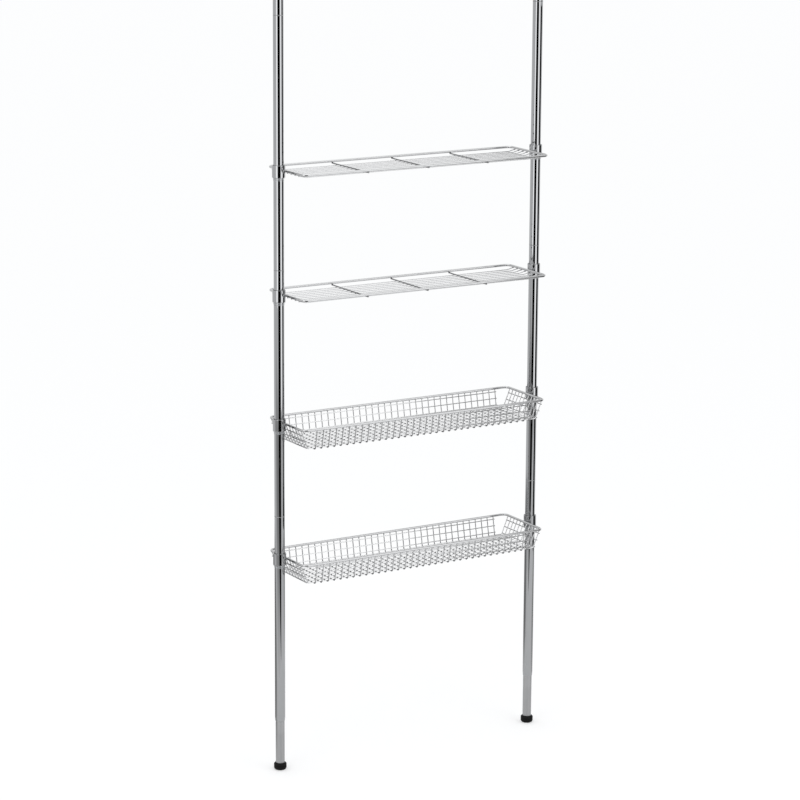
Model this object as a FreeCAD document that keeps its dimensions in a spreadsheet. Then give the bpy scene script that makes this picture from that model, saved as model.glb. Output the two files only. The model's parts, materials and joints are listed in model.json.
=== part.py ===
"""Tension pole shelf unit: two sprung poles that carry two wire shelves and two wire baskets.

The unit stands between a floor and a ceiling. Each pole is four chromed tubes on plug-in
inserts, a rubber cap against the ceiling, and a spring-loaded leg that presses a rubber foot
on the floor. Shelves and baskets are welded wire, and each hangs on the poles by two chromed
collars wedged on split plastic sleeves, so each can be set at any height.

Frame: millimetres, +X to the right, +Y to the back, +Z up. The origin is on the floor,
midway between the poles. Run it from any folder: it writes parts/NAME.step there.
"""

import FreeCAD, Part  # FreeCAD has to be imported before Part
import math
import os

import Sketcher

DOCUMENT = "TensionPoleShelfUnit"
OUTPUT_FOLDER = "parts"
SHEET = "Sizes"

# Driving sizes in millimetres: alias, value and what it measures.
SIZES = (
    ("pole_spacing", 719.0, "centre distance of the two poles"),
    ("pole_diameter", 25.0, "outside of the pole tubes"),
    ("pole_wall", 0.7, "wall of the pole tubes"),
    ("tube_section", 600.0, "pitch of the tube joints above the lowest one"),
    ("lower_joint_height", 639.4, "floor to the lowest tube joint"),
    ("mouth_height", 125.3, "floor to the lower tube's drawn-in mouth"),
    ("mouth_length", 11.0, "height of that mouth's taper"),
    ("mouth_gap", 0.15, "gap round the leg in the mouth"),
    ("insert_ring", 0.8, "ring of a joint insert that shows between two tubes"),
    ("insert_spigot", 30.0, "length of an insert's spigot in each tube"),
    ("insert_bore", 16.0, "hole through an insert"),
    ("push_gap", 0.05, "gap round a piece pushed into or over a tube"),
    ("leg_diameter", 22.0, "outside of the sprung leg tube"),
    ("leg_wall", 0.8, "wall of the leg tube"),
    ("foot_diameter", 31.0, "outside of a rubber foot"),
    ("foot_height", 18.0, "height of a rubber foot"),
    ("foot_floor", 6.0, "rubber under the leg tube"),
    ("foot_edge", 3.0, "bevel round the top of a foot"),
    ("foot_round", 4.0, "rounding under a foot"),
    ("cap_diameter", 34.0, "outside of a ceiling cap"),
    ("cap_height", 18.0, "height of a ceiling cap"),
    ("cap_floor", 6.0, "rubber over the head tube"),
    ("cap_edge", 3.0, "bevel round the bottom of a cap"),
    ("cap_round", 4.0, "rounding on top of a cap"),
    ("guide_skirt", 30.0, "guide collar round the top of the leg"),
    ("guide_head", 3.0, "plate of the guide above the leg"),
    ("guide_gap", 0.1, "running gap between the guide and the lower tube"),
    ("guide_plug", 15.0, "length of the guide inside the leg"),
    ("stop_gap", 0.3, "gap between the guide and the mouth with the leg right out"),
    ("spring_length", 150.0, "leg spring as installed"),
    ("spring_coil", 18.0, "mean diameter of the leg spring"),
    ("spring_wire", 2.2, "wire of the leg spring"),
    ("spring_turns", 12.0, "turns of the leg spring"),
    ("spring_seat_gap", 0.05, "gap at each end of the leg spring"),
    ("seat_spigot", 8.0, "length of the pin that centres the spring at each end"),
    ("seat_spigot_gap", 0.6, "gap between such a pin and the coils"),
    ("stop_height", 12.0, "height of the spring stop in the lower tube"),
    ("rim_wire", 6.0, "wire of a shelf's or basket's rim"),
    ("rim_depth", 172.0, "front to back between the centres of a rim's wires"),
    ("rim_corner", 14.0, "bend of a rim at its corners, to the centre of the wire"),
    ("collar_diameter", 31.5, "outside of a collar"),
    ("collar_wall", 1.4, "wall of a collar at its lower end"),
    ("collar_above", 15.5, "collar above the rim's centre"),
    ("collar_below", 13.5, "collar below the rim's centre"),
    ("wedge_taper", 0.5, "radius that the wedge loses towards its top"),
    ("wedge_gap", 0.05, "gap between a sleeve and its collar"),
    ("sleeve_gap", 0.15, "gap between a sleeve and the pole"),
    ("sleeve_recess", 2.5, "top of a sleeve below the top of its collar"),
    ("sleeve_skirt", 7.5, "height of the skirt that shows under a collar"),
    ("sleeve_lip", 0.8, "thickness of that skirt at its lower edge"),
    ("sleeve_slit", 5.0, "angle of each slit between the halves, in degrees"),
    ("upper_shelf_height", 1473.6, "floor to the upper shelf's rim"),
    ("lower_shelf_height", 1176.8, "floor to the lower shelf's rim"),
    ("upper_basket_height", 864.1, "floor to the upper basket's rim"),
    ("lower_basket_height", 532.4, "floor to the lower basket's rim"),
    ("brace_wire", 3.5, "wire of a shelf's cross braces"),
    ("brace_pitch", 166.0, "spacing of the cross braces"),
    ("brace_margin", 60.0, "least distance from a brace to the end of the rim"),
    ("deck_wire", 2.4, "wire of a shelf's deck"),
    ("deck_pitch", 18.6, "spacing of the deck wires"),
    ("deck_margin", 20.5, "least distance from a deck wire to the rim beside it"),
    ("deck_ramp", 14.0, "length over which a deck wire rises to the rim"),
    ("deck_land", 5.0, "flat end of a deck wire under the rim"),
    ("deck_bend", 8.0, "bends of a deck wire, to the centre of the wire"),
    ("wire_overrun", 1.5, "wire ends beyond the centre of the rim"),
    ("net_wire", 2.5, "wire of a basket's net"),
    ("basket_depth", 49.8, "rim centre down to the centre of the floor's cross wires"),
    ("net_bend", 5.0, "bend of the net at the foot of its walls, to the centre of the wire"),
    ("wall_inset", 9.0, "how far the front and back walls lean in"),
    ("end_inset", 18.0, "how far the end walls lean in"),
    ("cross_pitch", 17.9, "spacing of the wires that run front to back"),
    ("cross_margin", 35.0, "least distance from those wires to the end of the rim"),
    ("long_pitch", 14.6, "spacing of the wires that run from end to end"),
    ("long_margin", 12.0, "least distance from those wires to the rim's long sides"),
    ("weld_gap", 0.2, "gap between the end of a net wire and the rim above it"),
    ("side_rail_drop", 8.5, "rim centre down to the first wire along a long wall"),
    ("end_rail_drop", 12.0, "rim centre down to the first wire along an end wall"),
    ("rail_pitch", 16.25, "spacing of the wires along a wall, downwards"),
    ("rail_overrun", 2.0, "wall wires beyond the last upright that they are welded to"),
)

# Tubes of a pole above its lower tube, from the bottom up. An insert joins each one on.
TUBES_ABOVE = ("middle", "upper", "head")

# Sizes worked out from those above, as formulas of the same sheet.
FORMULAS = (
    ("pole_bore", "pole_diameter - 2 * pole_wall"),
    ("rim_length", "pole_spacing - collar_diameter - rim_wire"),
    ("head_top", f"lower_joint_height + {len(TUBES_ABOVE)} * tube_section"),
    ("guide_bottom", "mouth_height + mouth_length + stop_gap"),
    ("leg_top", "guide_bottom + guide_skirt"),
    ("spring_bottom", "leg_top + guide_head + spring_seat_gap"),
    ("stop_bottom", "spring_bottom + spring_length + spring_seat_gap"),
    ("seat_radius", "(spring_coil - spring_wire) / 2 - seat_spigot_gap"),
    ("collar_bore", "collar_diameter / 2 - collar_wall"),
    ("brace_drop", "(rim_wire + brace_wire) / 2"),
    ("deck_drop", "brace_drop + (brace_wire + deck_wire) / 2"),
    ("deck_end_drop", "(rim_wire + deck_wire) / 2"),
    ("brace_side_count", "floor((rim_length / 2 - brace_margin) / brace_pitch)"),
    ("deck_count", "floor((rim_depth - 2 * deck_margin) / deck_pitch) + 1"),
    ("long_drop", "basket_depth - net_wire"),
    ("net_top_drop", "rim_wire / 2 + weld_gap"),
    ("cross_count", "2 * floor((rim_length / 2 - cross_margin) / cross_pitch) + 1"),
    ("long_count", "2 * floor((rim_depth / 2 - long_margin) / long_pitch) + 1"),
    ("cross_reach", "(cross_count - 1) / 2 * cross_pitch"),
    ("long_reach", "(long_count - 1) / 2 * long_pitch"),
    ("wall_slope", "wall_inset / (basket_depth - net_top_drop)"),
    ("end_slope", "end_inset / (long_drop - net_top_drop)"),
    ("wall_lean", "atan(wall_slope) / 1deg"),
    ("end_lean", "atan(end_slope) / 1deg"),
)

ALIASES = {name for name, *_ in SIZES} | {name for name, _ in FORMULAS}
SIDES = {"left": "-", "right": ""}
SHELVES = ("upper_shelf", "lower_shelf")
BASKETS = ("upper_basket", "lower_basket")
RAILS_PER_WALL = 3

doc = FreeCAD.newDocument(DOCUMENT)


# ---------------------------------------------------------------- the sheet of sizes


def make_sheet():
    """Fill the sheet: a driving size is a plain number, a derived one a formula."""
    cells = doc.addObject("Spreadsheet::Sheet", SHEET)
    for row, (alias, number, note) in enumerate(SIZES, start=1):
        cells.set(f"A{row}", alias)
        cells.set(f"B{row}", str(number))
        cells.set(f"C{row}", note)
        cells.setAlias(f"B{row}", alias)
    for row, (alias, formula) in enumerate(FORMULAS, start=len(SIZES) + 1):
        cells.set(f"A{row}", alias)
        cells.set(f"B{row}", f"={formula}")
        cells.setAlias(f"B{row}", alias)
    doc.recompute()
    return cells


sheet = make_sheet()


def bound(formula):
    """The formula with each alias named in full, as an object outside the sheet needs it."""
    words = []
    word = ""
    for letter in formula + " ":
        if letter.isalnum() or letter == "_":
            word += letter
            continue
        words.append(f"{SHEET}.{word}" if word in ALIASES else word)
        words.append(letter)
        word = ""
    return "".join(words).strip()


def value(formula):
    """What the formula comes to with the sheet as it is."""
    return float(sheet.evalExpression(formula))


# ---------------------------------------------------------------- sketches and features


def new_body(label, across="0", back="0", up="0"):
    """A body with its own label, placed by three formulas."""
    body = doc.addObject("PartDesign::Body", label)
    body.Label = label
    for axis, formula in (("x", across), ("y", back), ("z", up)):
        body.setExpression(f"Placement.Base.{axis}", bound(formula))
    return body


def origin_feature(body, role):
    """A plane or an axis of the body's own origin."""
    return next(part for part in body.Origin.OriginFeatures if part.Role == role)


def new_sketch(body, plane, name):
    """An empty sketch on one of the body's origin planes."""
    sketch = body.newObject("Sketcher::SketchObject", f"{body.Name}_{name}")
    sketch.AttachmentSupport = [(origin_feature(body, plane), "")]
    sketch.MapMode = "FlatFace"
    return sketch


def pin_point(sketch, geometry, end, corner):
    """Hold one point of a sketch at a pair of formulas, counted from the sketch's origin."""
    for kind, formula in zip(("DistanceX", "DistanceY"), corner):
        distance = value(formula)
        if distance < 0:
            points = (geometry, end, -1, 1)
            formula = f"-({formula})"
        else:
            points = (-1, 1, geometry, end)
        rule = sketch.addConstraint(Sketcher.Constraint(kind, *points, abs(distance)))
        sketch.setExpression(f"Constraints[{rule}]", bound(formula))


def add_circle(sketch, centre, diameter):
    """A circle held by formulas for its centre and its diameter."""
    middle = FreeCAD.Vector(value(centre[0]), value(centre[1]), 0)
    radius = value(diameter) / 2
    up = FreeCAD.Vector(0, 0, 1)
    circle = sketch.addGeometry(Part.Circle(middle, up, radius))
    rule = sketch.addConstraint(Sketcher.Constraint("Radius", circle, radius))
    sketch.setExpression(f"Constraints[{rule}]", bound(f"({diameter}) / 2"))
    pin_point(sketch, circle, 3, centre)


def add_outline(sketch, corners):
    """A closed outline of straight lines through corners given as pairs of formulas."""
    points = [FreeCAD.Vector(value(x), value(y), 0) for x, y in corners]
    count = len(points)
    for index, point in enumerate(points):
        sketch.addGeometry(Part.LineSegment(point, points[(index + 1) % count]))
    for index in range(count):
        joint = Sketcher.Constraint("Coincident", index, 2, (index + 1) % count, 1)
        sketch.addConstraint(joint)
    for index, corner in enumerate(corners):
        pin_point(sketch, index, 1, corner)


def corner_arc(before, corner, after, radius):
    """A bend of this radius: where it leaves one run, where it joins the next, its centre."""
    back = (before - corner).normalize()
    ahead = (after - corner).normalize()
    half = back.getAngle(ahead) / 2
    reach = radius / math.tan(half)
    centre = corner + (back + ahead).normalize() * (radius / math.sin(half))
    return corner + back * reach, corner + ahead * reach, centre


def add_arc(sketch, leave, join, centre, radius):
    """An arc drawn anticlockwise; returns its number and the ends at leave and at join."""
    turns_left = (leave - centre).cross(join - centre).z > 0
    ends = (leave, join) if turns_left else (join, leave)
    angles = [math.atan2(end.y - centre.y, end.x - centre.x) for end in ends]
    circle = Part.Circle(centre, FreeCAD.Vector(0, 0, 1), radius)
    arc = sketch.addGeometry(Part.ArcOfCircle(circle, *angles))
    return (arc, 1, 2) if turns_left else (arc, 2, 1)


def add_bent_path(sketch, corners, bend, closed=False):
    """Straight runs through the corners, joined by tangent bends of one radius."""
    points = [FreeCAD.Vector(value(x), value(y), 0) for x, y in corners]
    count = len(points)
    radius = value(bend)
    bends = range(count) if closed else range(1, count - 1)
    arcs = {
        index: corner_arc(points[index - 1], points[index], points[(index + 1) % count], radius)
        for index in bends
    }
    runs = []
    for index in range(count if closed else count - 1):
        following = (index + 1) % count
        start = arcs[index][1] if index in arcs else points[index]
        finish = arcs[following][0] if following in arcs else points[following]
        runs.append(sketch.addGeometry(Part.LineSegment(start, finish)))
    for index, (leave, join, centre) in arcs.items():
        arc, leave_end, join_end = add_arc(sketch, leave, join, centre, radius)
        run_in, run_out = runs[index - 1], runs[index]
        sketch.addConstraint(Sketcher.Constraint("Tangent", run_in, 2, arc, leave_end))
        sketch.addConstraint(Sketcher.Constraint("Tangent", arc, join_end, run_out, 1))
        rule = sketch.addConstraint(Sketcher.Constraint("Radius", arc, radius))
        sketch.setExpression(f"Constraints[{rule}]", bound(bend))
        vertex = sketch.addGeometry(Part.Point(points[index]), True)
        sketch.addConstraint(Sketcher.Constraint("PointOnObject", vertex, 1, run_in))
        sketch.addConstraint(Sketcher.Constraint("PointOnObject", vertex, 1, run_out))
        pin_point(sketch, vertex, 1, corners[index])
    if not closed:
        pin_point(sketch, runs[0], 1, corners[0])
        pin_point(sketch, runs[-1], 2, corners[-1])


def turned_body(label, corners, angle=None, plane="XZ_Plane", **place):
    """A body turned about its own Z axis from corners given as (radius, height) formulas."""
    body = new_body(label, **place)
    sketch = new_sketch(body, plane, "profile")
    add_outline(sketch, corners)
    turn = body.newObject("PartDesign::Revolution", f"{label}_turn")
    turn.Profile = sketch
    turn.ReferenceAxis = (sketch, ["V_Axis"])
    turn.Angle = 360
    if angle:
        turn.Midplane = True
        turn.setExpression("Angle", bound(angle))
    doc.recompute()
    return body


def tube_body(label, outside, wall, length, **place):
    """A straight tube that stands on its own origin."""
    body = new_body(label, **place)
    sketch = new_sketch(body, "XY_Plane", "section")
    add_circle(sketch, ("0", "0"), outside)
    add_circle(sketch, ("0", "0"), f"{outside} - 2 * {wall}")
    pad = body.newObject("PartDesign::Pad", f"{label}_pad")
    pad.Profile = sketch
    pad.setExpression("Length", bound(length))
    doc.recompute()
    return body


def straight_wires_body(label, plane, centres, wire, length, **place):
    """Parallel straight wires, centred on the plane that their sections lie in."""
    body = new_body(label, **place)
    body.AllowCompound = True
    sketch = new_sketch(body, plane, "sections")
    for centre in centres:
        add_circle(sketch, centre, wire)
    pad = body.newObject("PartDesign::Pad", f"{label}_pad")
    pad.Profile = sketch
    pad.Midplane = True
    pad.setExpression("Length", bound(length))
    doc.recompute()
    return body


def bent_wire_body(label, plane, corners, bend, wire, section, closed=False, **place):
    """One bent wire: plane holds its path, section is (plane, centre) of its round section."""
    body = new_body(label, **place)
    path = new_sketch(body, plane, "path")
    add_bent_path(path, corners, bend, closed)
    section_plane, centre = section
    outline = new_sketch(body, section_plane, "section")
    add_circle(outline, centre, wire)
    doc.recompute()
    pipe = body.newObject("PartDesign::AdditivePipe", f"{label}_pipe")
    pipe.Profile = outline
    pipe.Spine = (path, [])
    doc.recompute()
    return body


def repeat_along(body, axis, pitch, count):
    """Repeat the body's last feature along one of its axes."""
    body.AllowCompound = True
    row = body.newObject("PartDesign::LinearPattern", f"{body.Name}_row")
    row.Originals = [body.Tip]
    row.Direction = (origin_feature(body, axis), [""])
    row.Mode = "Spacing"
    row.setExpression("Offset", bound(pitch))
    row.setExpression("Occurrences", bound(count))
    body.Tip = row
    doc.recompute()


def repeat_round(body, count):
    """Repeat the body's last feature evenly round its Z axis."""
    body.AllowCompound = True
    ring = body.newObject("PartDesign::PolarPattern", f"{body.Name}_ring")
    ring.Originals = [body.Tip]
    ring.Axis = (origin_feature(body, "Z_Axis"), [""])
    ring.Angle = 360
    ring.Occurrences = count
    body.Tip = ring
    doc.recompute()


def circle_edges(shape, radius, height):
    """Names of the shape's round edges of this radius at this height."""
    names = []
    for number, edge in enumerate(shape.Edges, start=1):
        curve = edge.Curve
        if not isinstance(curve, Part.Circle):
            continue
        if abs(curve.Radius - radius) < 1e-4 and abs(curve.Center.z - height) < 1e-4:
            names.append(f"Edge{number}")
    return names


def soften_edge(body, kind, size, radius, height):
    """Round or bevel the body's outer edge that lies at a radius and a height."""
    base = body.Tip
    edges = circle_edges(base.Shape, value(radius), value(height))
    edge = body.newObject(f"PartDesign::{kind}", f"{body.Name}_{kind}")
    edge.Base = (base, edges)
    edge.setExpression("Radius" if kind == "Fillet" else "Size", bound(size))
    doc.recompute()


# ---------------------------------------------------------------- the poles


def rubber_cup(label, diameter, height, floor, tube, bevel, rounding, turned_over, **place):
    """A rubber cup pushed over the end of a tube: a foot, or a cap if it is turned over."""
    outer, bore = f"{diameter} / 2", f"{tube} / 2 + push_gap"
    ends = ("0", floor, height)
    if turned_over:
        ends = (height, f"{height} - {floor}", "0")
    closed, seat, mouth = ends
    corners = (("0", closed), (outer, closed), (outer, mouth), (bore, mouth), (bore, seat), ("0", seat))
    body = turned_body(label, corners, **place)
    soften_edge(body, "Chamfer", bevel, outer, mouth)
    soften_edge(body, "Fillet", rounding, outer, closed)
    return body


def make_leg(side, across):
    """The sprung leg: rubber foot, leg tube, guide, coil spring and the stop above it."""
    rubber_cup(
        f"{side}_foot", "foot_diameter", "foot_height", "foot_floor", "leg_diameter",
        "foot_edge", "foot_round", turned_over=False, across=across,
    )
    tube_body(
        f"{side}_leg_tube", "leg_diameter", "leg_wall", "leg_top - foot_floor",
        across=across, up="foot_floor",
    )
    plug = "leg_diameter / 2 - leg_wall - push_gap"
    skirt_bore = "leg_diameter / 2 + push_gap"
    skirt = "pole_bore / 2 - guide_gap"
    head = "guide_skirt + guide_head"
    turned_body(
        f"{side}_leg_guide",
        (
            ("0", "guide_skirt - guide_plug"),
            (plug, "guide_skirt - guide_plug"),
            (plug, "guide_skirt"),
            (skirt_bore, "guide_skirt"),
            (skirt_bore, "0"),
            (skirt, "0"),
            (skirt, head),
            ("seat_radius", head),
            ("seat_radius", f"{head} + seat_spigot"),
            ("0", f"{head} + seat_spigot"),
        ),
        across=across, up="guide_bottom",
    )
    make_spring(f"{side}_leg_spring", across)
    stop = "pole_bore / 2 - push_gap"
    turned_body(
        f"{side}_spring_stop",
        (
            ("0", "0"),
            ("seat_radius", "0"),
            ("seat_radius", "seat_spigot"),
            (stop, "seat_spigot"),
            (stop, "seat_spigot + stop_height"),
            ("0", "seat_spigot + stop_height"),
        ),
        across=across, up="stop_bottom - seat_spigot",
    )


def make_spring(label, across):
    """The compression spring between the leg's guide and the stop in the lower tube."""
    body = new_body(label, across=across, up="spring_bottom")
    sketch = new_sketch(body, "XZ_Plane", "wire")
    add_circle(sketch, ("spring_coil / 2", "spring_wire / 2"), "spring_wire")
    doc.recompute()
    helix = body.newObject("PartDesign::AdditiveHelix", f"{label}_helix")
    helix.Profile = sketch
    helix.ReferenceAxis = (sketch, ["V_Axis"])
    helix.Mode = "pitch-height-angle"
    rise = "(spring_length - spring_wire)"
    helix.setExpression("Pitch", bound(f"{rise} / spring_turns"))
    helix.setExpression("Height", bound(rise))
    doc.recompute()


def make_pole(side, across):
    """The fixed pole: lower tube with its mouth, three more tubes, inserts and the cap."""
    mouth = "leg_diameter / 2 + mouth_gap"
    outer, bore = "pole_diameter / 2", "pole_bore / 2"
    length = "lower_joint_height - insert_ring / 2 - mouth_height"
    turned_body(
        f"{side}_lower_tube",
        (
            (mouth, "0"),
            (f"{mouth} + pole_wall", "0"),
            (outer, "mouth_length"),
            (outer, length),
            (bore, length),
            (bore, "mouth_length"),
        ),
        across=across, up="mouth_height",
    )
    for number, name in enumerate(TUBES_ABOVE):
        cut = "insert_ring / 2" if name == TUBES_ABOVE[-1] else "insert_ring"
        tube_body(
            f"{side}_{name}_tube", "pole_diameter", "pole_wall", f"tube_section - {cut}",
            across=across, up=f"lower_joint_height + {number} * tube_section + insert_ring / 2",
        )
    spigot, ring = f"{bore} - push_gap", f"{outer} - push_gap"
    above, below = "insert_spigot + insert_ring", "insert_spigot"
    inserts = turned_body(
        f"{side}_joint_inserts",
        (
            ("insert_bore / 2", "0"),
            (spigot, "0"),
            (spigot, below),
            (ring, below),
            (ring, above),
            (spigot, above),
            (spigot, "2 * insert_spigot + insert_ring"),
            ("insert_bore / 2", "2 * insert_spigot + insert_ring"),
        ),
        across=across, up="lower_joint_height - insert_ring / 2 - insert_spigot",
    )
    repeat_along(inserts, "Z_Axis", "tube_section", str(len(TUBES_ABOVE)))
    rubber_cup(
        f"{side}_ceiling_cap", "cap_diameter", "cap_height", "cap_floor", "pole_diameter",
        "cap_edge", "cap_round", turned_over=True, across=across,
        up="head_top + cap_floor - cap_height",
    )


# ---------------------------------------------------------------- shelves and baskets


def make_clamp(name, side, across, height):
    """A collar and the split sleeve that wedges it on the pole."""
    outer = "collar_diameter / 2"
    top, bottom = "collar_above + collar_below", "0"
    turned_body(
        f"{name}_{side}_collar",
        (
            ("collar_bore", bottom),
            (outer, bottom),
            (outer, top),
            ("collar_bore - wedge_taper", top),
        ),
        across=across, up=f"{height} - collar_below",
    )
    wedge_length = "collar_above + collar_below - sleeve_recess"
    wedge_top = f"collar_bore - wedge_gap - wedge_taper * ({wedge_length}) / ({top})"
    bore = "pole_diameter / 2 + sleeve_gap"
    shoulder = "sleeve_skirt - wedge_gap"
    sleeve = turned_body(
        f"{name}_{side}_sleeve",
        (
            (bore, "0"),
            (f"{bore} + sleeve_lip", "0"),
            (outer, shoulder),
            ("collar_bore - wedge_gap", shoulder),
            (wedge_top, f"sleeve_skirt + {wedge_length}"),
            (bore, f"sleeve_skirt + {wedge_length}"),
        ),
        angle="180 - sleeve_slit", plane="YZ_Plane",
        across=across, up=f"{height} - collar_below - sleeve_skirt",
    )
    repeat_round(sleeve, 2)


def make_rim(name, height):
    """The rim: one round wire bent to a rounded rectangle between the collars."""
    half_length, half_depth = "rim_length / 2", "rim_depth / 2"
    corners = (
        (f"-{half_length}", f"-{half_depth}"),
        (half_length, f"-{half_depth}"),
        (half_length, half_depth),
        (f"-{half_length}", half_depth),
    )
    section = ("YZ_Plane", (f"-{half_depth}", "0"))
    bent_wire_body(
        f"{name}_rim", "XY_Plane", corners, "rim_corner", "rim_wire", section,
        closed=True, up=height,
    )


def make_shelf(name):
    """A flat shelf: rim, cross braces welded under it, and deck wires under the braces."""
    height = f"{name}_height"
    make_rim(name, height)
    braces = int(value("brace_side_count"))
    centres = [
        (f"{number} * brace_pitch", "-brace_drop") for number in range(-braces, braces + 1)
    ]
    straight_wires_body(
        f"{name}_cross_wires", "XZ_Plane", centres, "brace_wire",
        "rim_depth + 2 * wire_overrun", up=height,
    )
    tip = "rim_length / 2 + wire_overrun"
    top, foot = f"{tip} - deck_land", f"{tip} - deck_land - deck_ramp"
    end_level, deck_level = "-deck_end_drop", "-deck_drop"
    corners = (
        (f"-({tip})", end_level),
        (f"-({top})", end_level),
        (f"-({foot})", deck_level),
        (foot, deck_level),
        (top, end_level),
        (tip, end_level),
    )
    deck = bent_wire_body(
        f"{name}_long_wires", "XZ_Plane", corners, "deck_bend", "deck_wire",
        ("YZ_Plane", ("0", deck_level)),
        back="-(deck_count - 1) / 2 * deck_pitch", up=height,
    )
    repeat_along(deck, "Y_Axis", "deck_pitch", "deck_count")


def net_corners(half_width, inset, floor_level):
    """Path of a net wire: down one wall, across the floor and up the other wall."""
    foot = f"({half_width} - {inset})"
    top_level = "-net_top_drop"
    return (
        (f"-{half_width}", top_level),
        (f"-{foot}", floor_level),
        (foot, floor_level),
        (half_width, top_level),
    )


def rail_centres(half_width, first_drop, slope, lean, offset):
    """Section centres of the wires along both walls, offset from the uprights' centres."""
    centres = []
    for number in range(RAILS_PER_WALL):
        drop = f"({first_drop} + {number} * rail_pitch)"
        inset = f"({drop} - net_top_drop) * {slope} + {offset} * cos({lean})"
        level = f"-{drop} + {offset} * sin({lean})"
        centres.append((f"{half_width} - ({inset})", level))
        centres.append((f"-({half_width} - ({inset}))", level))
    return centres


def make_basket(name):
    """A basket: rim, net wires both ways, and the wires along its four walls.

    The wires that run front to back are outermost. Those that run from end to end lie on
    them, inside the basket, and so do the side rails. The end rails are outside the end walls.
    """
    height = f"{name}_height"
    make_rim(name, height)
    cross_level, long_level = "-basket_depth", "-long_drop"
    cross = bent_wire_body(
        f"{name}_cross_wires", "YZ_Plane",
        net_corners("rim_depth / 2", "wall_inset", cross_level),
        "net_bend", "net_wire", ("XZ_Plane", ("0", cross_level)),
        across="-cross_reach", up=height,
    )
    repeat_along(cross, "X_Axis", "cross_pitch", "cross_count")
    long = bent_wire_body(
        f"{name}_long_wires", "XZ_Plane",
        net_corners("rim_length / 2", "end_inset", long_level),
        "net_bend", "net_wire", ("YZ_Plane", ("0", long_level)),
        back="-long_reach", up=height,
    )
    repeat_along(long, "Y_Axis", "long_pitch", "long_count")
    straight_wires_body(
        f"{name}_side_rails", "YZ_Plane",
        rail_centres("rim_depth / 2", "side_rail_drop", "wall_slope", "wall_lean", "net_wire"),
        "net_wire", "2 * (cross_reach + rail_overrun)", up=height,
    )
    straight_wires_body(
        f"{name}_end_rails", "XZ_Plane",
        rail_centres("rim_length / 2", "end_rail_drop", "end_slope", "end_lean", "-net_wire"),
        "net_wire", "2 * (long_reach + rail_overrun)", up=height,
    )


# ---------------------------------------------------------------- the whole unit


def make_unit():
    """Both poles with their legs, then every shelf and basket with its clamps."""
    for side, sign in SIDES.items():
        across = f"{sign}pole_spacing / 2"
        make_leg(side, across)
        make_pole(side, across)
        for name in SHELVES + BASKETS:
            make_clamp(name, side, across, f"{name}_height")
    for name in SHELVES:
        make_shelf(name)
    for name in BASKETS:
        make_basket(name)


def check_document():
    """Stop at the first object that failed to build or has no sound shape."""
    for item in doc.Objects:
        if {"Invalid", "Error"} & set(item.State):
            raise RuntimeError(f"{item.Label}: {item.State}")
    for body in bodies():
        if body.Shape.isNull() or not body.Shape.isValid() or not body.Shape.Solids:
            raise RuntimeError(f"{body.Label} has no sound solid")


def bodies():
    """Every sub-part of the unit."""
    return [item for item in doc.Objects if item.TypeId == "PartDesign::Body"]


def write_parts():
    """Write each sub-part's solids to a STEP file named by its label."""
    os.makedirs(OUTPUT_FOLDER, exist_ok=True)
    for body in bodies():
        body.Shape.exportStep(os.path.join(OUTPUT_FOLDER, f"{body.Label}.step"))
        box = body.Shape.BoundBox
        print(
            f"{body.Label:28s} solids {len(body.Shape.Solids):3d}  volume {body.Shape.Volume:10.1f}"
            f"  z {box.ZMin:8.2f} to {box.ZMax:8.2f}"
        )


make_unit()
doc.recompute()
check_document()
write_parts()
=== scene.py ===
"""The look of the tension pole shelf unit: its pieces, their finishes, the studio and the camera.

Everything is in metres in the unit's own frame: +X to the right, +Y to the back, +Z up, with
the origin on the floor midway between the poles.
"""

import json
import logging
import math
from dataclasses import dataclass, field, replace
from enum import Enum
from functools import cache
from typing import Callable, Iterator, Self, Sequence

import bpy
from mathutils import Euler, Matrix, Quaternion, Vector


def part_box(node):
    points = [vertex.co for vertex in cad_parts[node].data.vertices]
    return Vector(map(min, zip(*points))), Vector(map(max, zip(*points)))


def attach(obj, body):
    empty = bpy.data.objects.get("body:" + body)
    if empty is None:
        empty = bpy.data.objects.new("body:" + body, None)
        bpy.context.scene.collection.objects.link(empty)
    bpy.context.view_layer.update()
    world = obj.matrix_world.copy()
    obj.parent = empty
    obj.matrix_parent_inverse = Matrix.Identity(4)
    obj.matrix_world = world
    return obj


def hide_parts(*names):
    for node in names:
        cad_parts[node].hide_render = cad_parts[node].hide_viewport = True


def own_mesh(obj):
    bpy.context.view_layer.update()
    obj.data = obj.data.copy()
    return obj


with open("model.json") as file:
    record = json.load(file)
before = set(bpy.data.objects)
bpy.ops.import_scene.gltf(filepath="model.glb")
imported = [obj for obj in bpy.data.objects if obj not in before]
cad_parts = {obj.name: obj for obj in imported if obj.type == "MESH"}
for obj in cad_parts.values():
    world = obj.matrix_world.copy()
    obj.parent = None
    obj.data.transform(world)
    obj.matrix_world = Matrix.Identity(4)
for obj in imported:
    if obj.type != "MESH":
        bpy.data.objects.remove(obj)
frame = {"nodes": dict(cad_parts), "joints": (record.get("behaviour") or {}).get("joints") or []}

FULL_TURN = 2 * math.pi
MERGE_DISTANCE = 1e-6
SMOOTH_ANGLE = math.radians(40)
ABOVE_ALL = 9.0
WHITE = (1.0, 1.0, 1.0)

Colour = Size = tuple[float, float, float]
Point = tuple[float, float]
Operand = "Signal | float"

log = logging.getLogger("shelf_unit")


class Side(Enum):
    """The two sides of the unit, with the sign of X on each."""

    LEFT = -1
    RIGHT = 1

    def __str__(self) -> str:
        """The side's name as the nodes spell it."""
        return self.name.lower()


class Axis(Enum):
    """Directions that a grain, a wire or a row of copies can run in."""

    X = (1.0, 0.0, 0.0)
    Y = (0.0, 1.0, 0.0)
    Z = (0.0, 0.0, 1.0)

    @property
    def vector(self) -> Vector:
        """The direction as a vector."""
        return Vector(self.value)


def up(height: float) -> Vector:
    """A step straight up."""
    return Vector((0.0, 0.0, height))


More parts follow.
